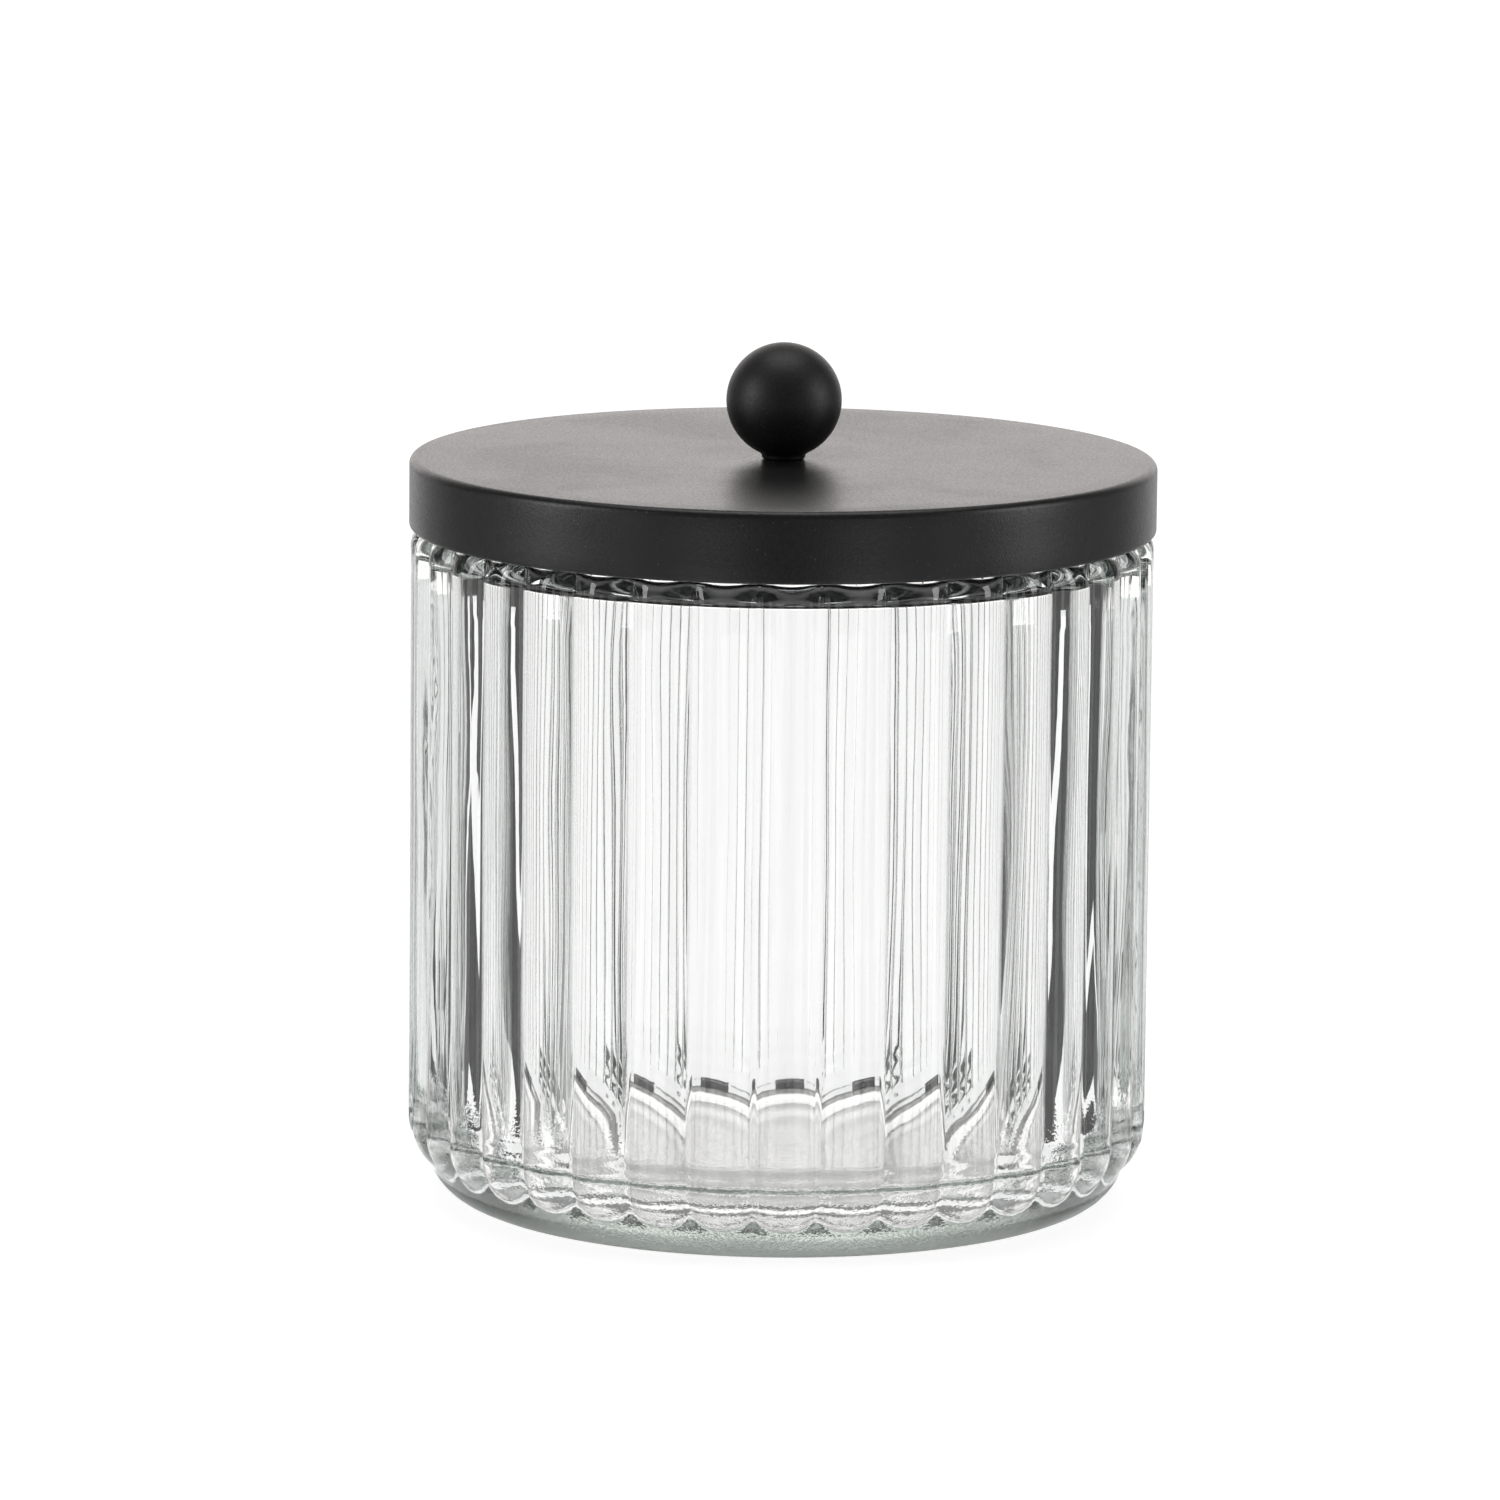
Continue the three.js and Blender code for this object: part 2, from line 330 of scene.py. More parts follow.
class Board:
    """A node tree that is wired up node by node."""

    def __init__(self, tree: bpy.types.NodeTree) -> None:
        """Takes a tree and empties it."""
        self.tree = tree
        tree.nodes.clear()

    def add(self, kind: str, **settings: object) -> bpy.types.Node:
        """Adds a node.

        Args:
            kind: The node's type, without its ShaderNode.
            settings: Attributes of the node by name.

        Returns:
            The new node.
        """
        node = self.tree.nodes.new(f"ShaderNode{kind}")
        for key, value in settings.items():
            setattr(node, key, value)
        return node

    def feed(self, socket: bpy.types.NodeSocket, value: object) -> None:
        """Wires an input to another socket, or sets it.

        Args:
            socket: The input.
            value: A socket to wire it to, or the value to set.
        """
        if isinstance(value, bpy.types.NodeSocket):
            self.tree.links.new(value, socket)
        else:
            socket.default_value = value

    def put(self, node: bpy.types.Node, **values: object) -> bpy.types.Node:
        """Sets or wires a node's inputs.

        Args:
            node: The node.
            values: Values by input name, where an underscore stands for a space.

        Returns:
            The same node.
        """
        for key, value in values.items():
            self.feed(node.inputs[key.replace("_", " ")], value)
        return node

    def maths(self, operation: str, *terms: object, clamp: bool = False) -> bpy.types.NodeSocket:
        """Wires a Math node.

        Args:
            operation: The node's operation.
            terms: Numbers or sockets, in the order of its inputs.
            clamp: True to keep the answer between 0 and 1.

        Returns:
            The answer's socket.
        """
        node = self.add("Math", operation=operation, use_clamp=clamp)
        for socket, term in zip(node.inputs, terms):
            self.feed(socket, term)
        return node.outputs[0]

    def span(
        self,
        value: bpy.types.NodeSocket,
        low: float,
        high: float,
        to_low: float = 0.0,
        to_high: float = 1.0,
        smooth: bool = False,
    ) -> bpy.types.NodeSocket:
        """Maps a value from one span to another, held at the ends.

        Args:
            value: The value's socket.
            low: Start of the value's span.
            high: End of the value's span.
            to_low: Answer at the start.
            to_high: Answer at the end.
            smooth: True to ease in and out.

        Returns:
            The answer's socket.
        """
        node = self.add("MapRange", interpolation_type="SMOOTHSTEP" if smooth else "LINEAR")
        self.put(node, Value=value, From_Min=low, From_Max=high, To_Min=to_low, To_Max=to_high)
        return node.outputs["Result"]

    def blend(self, share: object, first: object, second: object) -> bpy.types.NodeSocket:
        """Mixes two colours.

        Args:
            share: How much of the second colour shows, from 0 to 1.
            first: The first colour.
            second: The second colour.

        Returns:
            The mixed colour's socket.
        """
        node = self.add("Mix", data_type="RGBA")
        for index, value in ((0, share), (6, first), (7, second)):
            self.feed(node.inputs[index], value)
        return node.outputs[2]

    def relief(
        self, height: bpy.types.NodeSocket, distance: float, strength: float = 1.0
    ) -> bpy.types.NodeSocket:
        """Raises the surface by a height.

        Args:
            height: The height's socket, from 0 to 1.
            distance: What a height of 1 stands for, in millimetres.
            strength: Share of the relief that shows.

        Returns:
            The normal's socket.
        """
        bump = self.add("Bump")
        self.put(bump, Height=height, Strength=strength, Distance=distance * MM)
        return bump.outputs[0]

    def place(self) -> bpy.types.NodeSocket:
        """Gives the piece's own place in metres, which doesn't change with the view."""
        return self.add("TexCoord").outputs["Object"]


class Group:
    """A shared effect with named inputs and outputs."""

    def __init__(self, name: str, inputs: dict[str, object], outputs: dict[str, str]) -> None:
        """Makes the group's tree and its sockets.

        Args:
            name: Name of the group.
            inputs: Default value of each input by name, None for a vector.
            outputs: Type of each output by name, float or colour.
        """
        self.tree = bpy.data.node_groups.new(name, "ShaderNodeTree")
        self.board = Board(self.tree)
        for title, value in inputs.items():
            kind = "NodeSocketVector" if value is None else "NodeSocketFloat"
            socket = self.tree.interface.new_socket(title, in_out="INPUT", socket_type=kind)
            if value is not None:
                socket.default_value = value
        for title, kind in outputs.items():
            kind = "NodeSocketColor" if kind == "colour" else "NodeSocketFloat"
            self.tree.interface.new_socket(title, in_out="OUTPUT", socket_type=kind)
        self.entry = self.tree.nodes.new("NodeGroupInput")
        self.exit = self.tree.nodes.new("NodeGroupOutput")

    def give(self, title: str, socket: bpy.types.NodeSocket) -> None:
        """Wires a socket to one of the group's outputs."""
        self.tree.links.new(socket, self.exit.inputs[title])

    def use(self, board: Board, **values: object) -> bpy.types.Node:
        """Places the group in a material with its own values."""
        node = board.add("Group", node_tree=self.tree)
        return board.put(node, **values)


def make_grain_group() -> Group:
    """Makes the fine, slightly lumpy skin of a sprayed or moulded surface.

    Returns:
        The group: Height is the skin's relief, Fleck marks its rare paler specks.
    """
    group = Group(
        "fine_grain",
        {"Place": None, "Size": 0.5, "Flecks": 0.1},
        {"Height": "float", "Fleck": "float"},
    )
    board = group.board
    place, size, flecks = (group.entry.outputs[i] for i in range(3))
    rate = board.maths("DIVIDE", 1 / MM, size)
    peel = board.put(board.add("TexNoise"), Vector=place, Scale=rate, Detail=2.0, Roughness=0.7)
    specks = board.put(
        board.add("TexVoronoi"), Vector=place, Scale=board.maths("MULTIPLY", rate, 0.7)
    )
    speck = board.span(specks.outputs["Distance"], 0.05, 0.32, 1.0, 0.0, smooth=True)
    chosen = board.put(board.add("SeparateColor"), Color=specks.outputs["Color"])
    rare = board.maths("LESS_THAN", chosen.outputs[0], flecks)
    fleck = board.maths("MULTIPLY", speck, rare)
    group.give("Height", board.maths("MULTIPLY_ADD", fleck, 0.5, peel.outputs["Fac"]))
    group.give("Fleck", fleck)
    return group


def make_handling_group() -> Group:
    """Makes the uneven film that hands and cloths leave: broad soft patches and faint wipe marks.

    Returns:
        The group: Film is 0 where the surface is clean and 1 where it is dullest.
    """
    group = Group("handling_film", {"Place": None, "Patch": 18.0}, {"Film": "float"})
    board = group.board
    place, patch = group.entry.outputs[0], group.entry.outputs[1]
    rate = board.maths("DIVIDE", 1 / MM, patch)
    patches = board.put(
        board.add("TexNoise"), Vector=place, Scale=rate, Detail=4.0, Distortion=0.6
    )
    streaks = board.put(board.add("Mapping"), Vector=place, Scale=(1.0, 1.0, 0.2))
    wiped = board.put(
        board.add("TexNoise"),
        Vector=streaks.outputs[0],
        Scale=board.maths("MULTIPLY", rate, 6.0),
        Detail=2.0,
    )
    broad = board.span(patches.outputs["Fac"], 0.42, 0.68, smooth=True)
    fine = board.span(wiped.outputs["Fac"], 0.45, 0.75, smooth=True)
    group.give("Film", board.maths("MULTIPLY_ADD", fine, 0.35, broad, clamp=True))
    return group


class Effects:
    """The shared effects, each made once."""

    def __init__(self) -> None:
        """Makes every group."""
        self.grain = make_grain_group()
        self.handling = make_handling_group()


def new_material(name: str) -> tuple[bpy.types.Material, Board]:
    """Makes an empty material with an output that is wired later.

    Args:
        name: The material's name.

    Returns:
        The material and the board of its nodes.
    """
    material = bpy.data.materials.new(name)
    material.use_nodes = True
    return material, Board(material.node_tree)


def close_material(
    board: Board, surface: bpy.types.Node, volume: bpy.types.Node | None = None
) -> None:
    """Wires a material to its output.

    Args:
        board: The material's nodes.
        surface: The shader of its surface.
        volume: The shader of its body, where light passes through.
    """
    exit_node = board.add("OutputMaterial")
    board.put(exit_node, Surface=surface.outputs[0])
    if volume is not None:
        board.put(exit_node, Volume=volume.outputs[0])


@dataclass(frozen=True)
class PressedGlass:
    """Clear soda glass with a fire-polished skin and a faint green body."""

    bend: float = 1.52
    body: Colour = (0.62, 0.67, 0.645)
    depth: float = 26.0  # how strongly the body tints, for each metre of glass
    ripple: float = 0.006  # height of the skin's short ripple in millimetres
    rings: float = 20.0  # height of the floor's rings, as a multiple of the ripple
    pitting: float = 8.0  # share of that height in the mould's fine pitting at the foot

    def floor_rings(self, board: Board, place: bpy.types.NodeSocket) -> bpy.types.NodeSocket:
        """Draws the plunger's uneven rings on the inner floor.

        Args:
            board: The material's nodes.
            place: The place on the piece.

        Returns:
            The rings' height, as a multiple of the ripple.
        """
        rings = board.add("TexWave", wave_type="RINGS", rings_direction="Z")
        board.put(rings, Vector=place, Scale=30.0, Distortion=1.6, Detail=1.0, Detail_Scale=0.6)
        flat = board.add("VectorMath", operation="MULTIPLY")
        board.feed(flat.inputs[0], place)
        board.feed(flat.inputs[1], (1.0, 1.0, 0.0))
        radius = board.add("VectorMath", operation="LENGTH")
        board.feed(radius.inputs[0], flat.outputs[0])
        height = board.put(board.add("SeparateXYZ"), Vector=place).outputs["Z"]
        inside = board.span(radius.outputs["Value"], 43 * MM, 45.5 * MM, 1.0, 0.0)
        over = board.span(height, 4.0 * MM, 4.8 * MM)
        under = board.span(height, 8 * MM, 14 * MM, 1.0, 0.0)
        inside = board.maths("MULTIPLY", board.maths("MULTIPLY", inside, over), under)
        return board.maths("MULTIPLY", inside, board.maths("MULTIPLY", rings.outputs["Fac"], self.rings))

    def make(self, effects: Effects) -> bpy.types.Material:
        """Builds the material.

        Args:
            effects: The shared effects.

        Returns:
            The finished material.
        """
        material, board = new_material("pressed_glass")
        place = board.place()
        stretched = board.put(board.add("Mapping"), Vector=place, Scale=(1.0, 1.0, 0.3))
        ripples = board.add("TexNoise")
        board.put(ripples, Vector=stretched.outputs[0], Scale=420.0, Detail=2.0)
        pits = board.put(board.add("TexNoise"), Vector=place, Scale=2400.0, Detail=1.0)
        height = board.put(board.add("SeparateXYZ"), Vector=place).outputs["Z"]
        low = board.span(height, 4 * MM, 20 * MM, self.pitting, 0.0, smooth=True)
        pitted = board.maths("MULTIPLY_ADD", pits.outputs["Fac"], low, ripples.outputs["Fac"])
        skin = board.maths("MULTIPLY_ADD", self.floor_rings(board, place), 1.0, pitted)
        film = effects.handling.use(board, Place=place, Patch=14.0)
        shine = board.span(film.outputs["Film"], 0.0, 1.0, 0.0, 0.035)
        shader = board.put(
            board.add("BsdfPrincipled"),
            Base_Color=(1.0, 1.0, 1.0, 1.0),
            Metallic=0.0,
            Roughness=shine,
            IOR=self.bend,
            Transmission_Weight=1.0,
            Normal=board.relief(skin, self.ripple),
        )
        tint = board.add("VolumeAbsorption")
        board.put(tint, Color=(*self.body, 1.0), Density=self.depth)
        close_material(board, shader, tint)
        return material


@dataclass(frozen=True)
class PowderCoat:
    """Satin black powder coat, sprayed on steel."""

    name: str = "black_powder_coat"
    base: Colour = (0.0075, 0.0075, 0.008)
    fleck: Colour = (0.05, 0.048, 0.046)
    shine: float = 0.34
    dull: float = 0.37
    grain: float = 0.34  # size of the grain in millimetres
    relief: float = 0.030  # height of the grain in millimetres
    speckle: float = 0.06  # how far the gloss changes from grain to grain

    def make(self, effects: Effects) -> bpy.types.Material:
        """Builds the material.

        Args:
            effects: The shared effects.

        Returns:
            The finished material.
        """
        material, board = new_material(self.name)
        place = board.place()
        grain = effects.grain.use(board, Place=place, Size=self.grain, Flecks=0.06)
        film = effects.handling.use(board, Place=place, Patch=24.0)
        colour = board.blend(grain.outputs["Fleck"], (*self.base, 1.0), (*self.fleck, 1.0))
        worn = board.span(film.outputs["Film"], 0.0, 1.0, self.shine, self.dull)
        speckle = board.span(grain.outputs["Height"], 0.35, 0.65, -self.speckle, self.speckle)
        gloss = board.maths("ADD", worn, speckle)
        shader = board.put(
            board.add("BsdfPrincipled"),
            Base_Color=colour,
            Metallic=0.0,
            Roughness=gloss,
            IOR=1.5,
            Normal=board.relief(grain.outputs["Height"], self.relief),
        )
        close_material(board, shader)
        return material


@dataclass(frozen=True)
class Silicone:
    """Soft moulded silicone, dark grey, with a faint bloom."""

    colour: Colour = (0.030, 0.031, 0.033)
    bloom: Colour = (0.055, 0.056, 0.058)

    def make(self, effects: Effects) -> bpy.types.Material:
        """Builds the material.

        Args:
            effects: The shared effects.

        Returns:
            The finished material.
        """
        material, board = new_material("grey_silicone")
        place = board.place()
        grain = effects.grain.use(board, Place=place, Size=0.9, Flecks=0.02)
        film = effects.handling.use(board, Place=place, Patch=9.0)
        colour = board.blend(film.outputs["Film"], (*self.colour, 1.0), (*self.bloom, 1.0))
        gloss = board.span(film.outputs["Film"], 0.0, 1.0, 0.38, 0.58)
        shader = board.put(
            board.add("BsdfPrincipled"),
            Base_Color=colour,
            Roughness=gloss,
            IOR=1.41,
            Normal=board.relief(grain.outputs["Height"], 0.008, 0.6),
        )
        close_material(board, shader)
        return material


@dataclass(frozen=True)
class ZincPlate:
    """Bright zinc on a small steel fastener, faintly clouded."""

    bright: Colour = (0.66, 0.67, 0.69)
    clouded: Colour = (0.50, 0.51, 0.54)

    def make(self, effects: Effects) -> bpy.types.Material:
        """Builds the material.

        Args:
            effects: The shared effects.

        Returns:
            The finished material.
        """
        material, board = new_material("zinc_plate")
        place = board.place()
        grain = effects.grain.use(board, Place=place, Size=0.25, Flecks=0.03)
        film = effects.handling.use(board, Place=place, Patch=2.5)
        colour = board.blend(film.outputs["Film"], (*self.bright, 1.0), (*self.clouded, 1.0))
        gloss = board.span(film.outputs["Film"], 0.0, 1.0, 0.22, 0.42)
        shader = board.put(
            board.add("BsdfPrincipled"),
            Base_Color=colour,
            Metallic=1.0,
            Roughness=gloss,
            Normal=board.relief(grain.outputs["Height"], 0.005, 0.5),
        )
        close_material(board, shader)
        return material


def dress(piece: bpy.types.Object, material: bpy.types.Material) -> None:
    """Gives a piece its one material."""
    piece.data.materials.clear()
    piece.data.materials.append(material)


# ---------------------------------------------------------------------------------- glass jar


@dataclass
class GlassJar:
    """The pressed glass: ribs with domed tops, a plain foot, a neck and a thick floor."""

    rib_count: int = 36
    columns: int = 18  # facets round one rib
    rib_depth: float = 1.5
    heel_run: float = 17.0
    heel_height: float = 10.0
    foot_radius: float = 41.0
    foot_bulge: float = 5.8
    foot_height: float = 6.6
    foot_ring: float = 6.0
    push_up: float = 1.0
    push_up_slope: float = 2.5
    shoulder: float = 3.5
    neck_height: float = 3.55
    rim_round: float = 1.3
    neck_wall: float = 3.0
    rib_wall: float = 2.2
    floor: float = 4.2
    floor_fillet: float = 8.5
    mouth_depth: float = 5.0
    mouth_blend: float = 3.2
    softness: float = 0.15  # how far the ribs melt into the foot
    ring_wave: float = 0.2  # height of the plunger's rings in the floor's fillet
    ring_count: int = 5
    waves: tuple[tuple[str, float, float, float], ...] = (  # where, size, stretch upwards, height
        ("inner_wall", 7.0, 7.0, 0.30),
        ("inner_wall", 2.6, 8.0, 0.035),
        ("outer_wall", 6.0, 7.0, 0.06),
        ("floor", 4.5, 1.0, 0.16),
    )
    crest: float = field(init=False)
    height: float = field(init=False)

    def __post_init__(self) -> None:
        """Takes the overall sizes from the frame."""
        self.crest = node_radius("glass_jar")
        self.height = node_heights("glass_jar")[1]

    @property
    def neck(self) -> float:
        """Outer radius of the neck."""
        return self.crest - self.shoulder

    @property
    def mouth(self) -> float:
        """Inner radius of the mouth."""
        return self.neck - self.neck_wall

    @property
    def cavity(self) -> float:
        """Inner radius of the wall."""
        return self.crest - self.rib_depth - self.rib_wall

    @property
    def shoulder_start(self) -> float:
        """Height at which the rib tops start to curve inwards."""
        return self.height - self.neck_height - self.shoulder

    @property
    def blend_bottom(self) -> float:
        """Height at which the inner wall starts to close in towards the mouth."""
        return self.height - self.mouth_depth - self.mouth_blend

    def foot_at(self, height: float) -> float:
        """Gives the radius of the plain foot at a height."""
        rise = (height - self.foot_height) / self.foot_height
        return self.foot_radius + self.foot_bulge * math.sqrt(max(0.0, 1 - rise * rise))

    def crest_at(self, height: float) -> float:
        """Gives the radius of a rib's crest.

        Args:
            height: A height on the heel or the wall.

        Returns:
            The radius there.
        """
        if height >= self.heel_height:
            return self.crest
        fall = (self.heel_height - height) / self.heel_height
        return self.crest - self.heel_run + self.heel_run * math.sqrt(max(0.0, 1 - fall**2))

    def rib_at(self, angle: float) -> float:
        """Gives how high a rib stands over its valley.

        Args:
            angle: Angle from the rib's crest in radians.

        Returns:
            The height as a share, from 0 to 1.
        """
        half_pitch = math.pi / self.rib_count
        half_width = self.crest * half_pitch
        round_radius = (half_width**2 + self.rib_depth**2) / (2 * self.rib_depth)
        rise = math.sqrt(round_radius**2 - (half_width * angle / half_pitch) ** 2)
        return (rise - round_radius + self.rib_depth) / self.rib_depth

    def outside(self) -> Outline:
        """Gives the crest's outline.

        Returns:
            The points from the middle of the underside to the middle of the rim.
        """
        ring_inner = self.foot_radius - self.foot_ring
        slope_inner = ring_inner - self.push_up_slope
        underside = [(0.0, self.push_up)]
        underside += between((0.0, self.push_up), (slope_inner, self.push_up), 6)
        underside += [
            (slope_inner, self.push_up),
            (slope_inner + 0.8, 0.82 * self.push_up),
            (ring_inner - 0.8, 0.18 * self.push_up),
            (ring_inner, 0.0),
            (ring_inner + self.foot_ring / 2, 0.0),
            (self.foot_radius, 0.0),
        ]
        heel_rows = [0.25, 0.7, 1.3, 2.0, 2.7]
        heel_rows += [3.2 + 0.36 * i for i in range(15)]
        heel_rows += [8.9, 9.6, 10.6]
        heel = [
            (smooth_larger(self.foot_at(z), self.crest_at(z), self.softness), z)
            for z in heel_rows
        ]
        wall_start = (self.crest, heel_rows[-1])
        wall = between(wall_start, (self.crest, self.shoulder_start), 14)
        dome = arc(self.neck, self.shoulder_start, self.shoulder, self.shoulder, 0, 90, 12)
        edge = self.rim_round
        rim = arc(self.neck - edge, self.height - edge, edge, edge, 0, 90, 5)
        return [*underside, *heel, *wall, *dome, *rim]

    def inside(self) -> Outline:
        """Gives the inner outline.

        Returns:
            The points from the rim down to the middle of the floor.
        """
        edge = self.rim_round
        rim = arc(self.mouth + edge, self.height - edge, edge, edge, 90, 180, 5)
        mouth_end = (self.mouth, self.height - self.mouth_depth)
        mouth = between(rim[-1], mouth_end, 3)
        blend = []
        for i in range(9):
            share = (1 + math.cos(math.pi * i / 8)) / 2
            radius = self.cavity + (self.mouth - self.cavity) * share
            blend.append((radius, mouth_end[1] - self.mouth_blend * i / 8))
        floor_top = self.push_up + self.floor
        fillet = self.ringed_fillet(floor_top)
        wall = between(blend[-1], fillet[0], 14)
        floor = between(fillet[-1], (0.0, floor_top), 8)
        return [*rim, *mouth, *blend, *wall, *fillet, *floor, (0.0, floor_top)]

    def ringed_fillet(self, floor_top: float) -> Outline:
        """Gives the fillet between wall and floor, with the faint rings that the plunger leaves.

        Args:
            floor_top: Height of the floor's upper face.

        Returns:
            The fillet's points from the wall down to the floor.
        """
        steps = 6 * self.ring_count
        middle = self.cavity - self.floor_fillet, floor_top + self.floor_fillet
        points = []
        for i in range(steps + 1):
            fade = math.sin(math.pi * i / steps)
            wave = self.ring_wave * fade * math.sin(2 * math.pi * self.ring_count * i / steps)
            turn = math.pi / 2 * i / steps
            reach = self.floor_fillet + wave
            across, down = reach * math.cos(turn), reach * math.sin(turn)
            points.append((middle[0] + across, middle[1] - down))
        return points

    def press(self, place: Vector) -> Vector | None:
        """Gives how a point of the crest's surface moves to make the ribs and valleys.

        Args:
            place: The point.

        Returns:
            The move towards the axis, or None for a point that stays.
        """
        radius = math.hypot(place.x, place.y)
        if radius < self.foot_radius or place.z > self.height - self.neck_height + WELD:
            return None
        if radius <= self.cavity + 0.1 and place.z >= self.floor:
            return None
        half_pitch = math.pi / self.rib_count
        angle = (math.atan2(place.x, -place.y) + half_pitch) % (2 * half_pitch) - half_pitch
        hollow = self.rib_depth * (1 - self.rib_at(angle))
        if place.z >= self.heel_height:
            over = max(0.0, (place.z - self.shoulder_start) / self.shoulder)
            pressed = radius - hollow * (1 - min(over, 1.0) ** 2)
        else:
            rib = self.crest_at(place.z) - hollow
            pressed = smooth_larger(self.foot_at(place.z), rib, self.softness)
        return Vector((place.x, place.y, 0)) / radius * (pressed - radius)

    def build(self) -> bpy.types.Object:
        """Models one rib's slice from underside to floor, then copies it round.

        Returns:
            The finished glass.
        """
        pitch = 360.0 / self.rib_count
        first = Matrix.Rotation(math.radians(-pitch / 2), 3, "Z")
        outline = [*self.outside(), *self.inside()]
        bench = Bench.line("jar_glass", [first @ Vector((0, -r, z)) for r, z in outline])
        bench.spin(self.columns, pitch)
        bench.weld()
        bench.push(self.press)
        bench.spin(self.rib_count - 1, 360.0 - pitch, copies=True)
        bench.weld()
        bench.leave()
        self.ripple(bench)
        return bench.finish()

    def ripple(self, bench: Bench) -> None:
        """Gives the pressed walls the slow waves that a plunger and cooling glass leave.

        Args:
            bench: The bench with the whole glass on it, in object mode.
        """
        members: dict[str, list[int]] = {"inner_wall": [], "outer_wall": [], "floor": []}
        floor_top = self.push_up + self.floor
        for vertex in bench.piece.data.vertices:
            place = vertex.co / MM
            is_inner = math.hypot(place.x, place.y) < self.cavity + 0.1
            if floor_top + self.floor_fillet < place.z < self.blend_bottom:
                members["inner_wall" if is_inner else "outer_wall"].append(vertex.index)
            elif is_inner and floor_top - 0.1 < place.z <= floor_top + self.floor_fillet:
                members["floor"].append(vertex.index)
        for name, indices in members.items():
            bench.piece.vertex_groups.new(name=name).add(indices, 1.0, "REPLACE")
        for group, wave, tall, height in self.waves:
            ruler = bpy.data.objects.new("ruler", None)
            bpy.context.scene.collection.objects.link(ruler)
            ruler.scale = (1.0, 1.0, tall)
            bpy.context.view_layer.update()
            clouds = bpy.data.textures.new("waves", "CLOUDS")
            clouds.noise_scale = wave * MM
            clouds.noise_depth = 1
            bench.apply(
                "DISPLACE",
                texture=clouds,
                texture_coords="OBJECT",
                texture_coords_object=ruler,
                vertex_group=group,
                strength=height * MM,
                mid_level=0.5,
            )
            bpy.data.objects.remove(ruler)
            bpy.data.textures.remove(clouds)
        bench.piece.vertex_groups.clear()


# ---------------------------------------------------------------------------------- lid


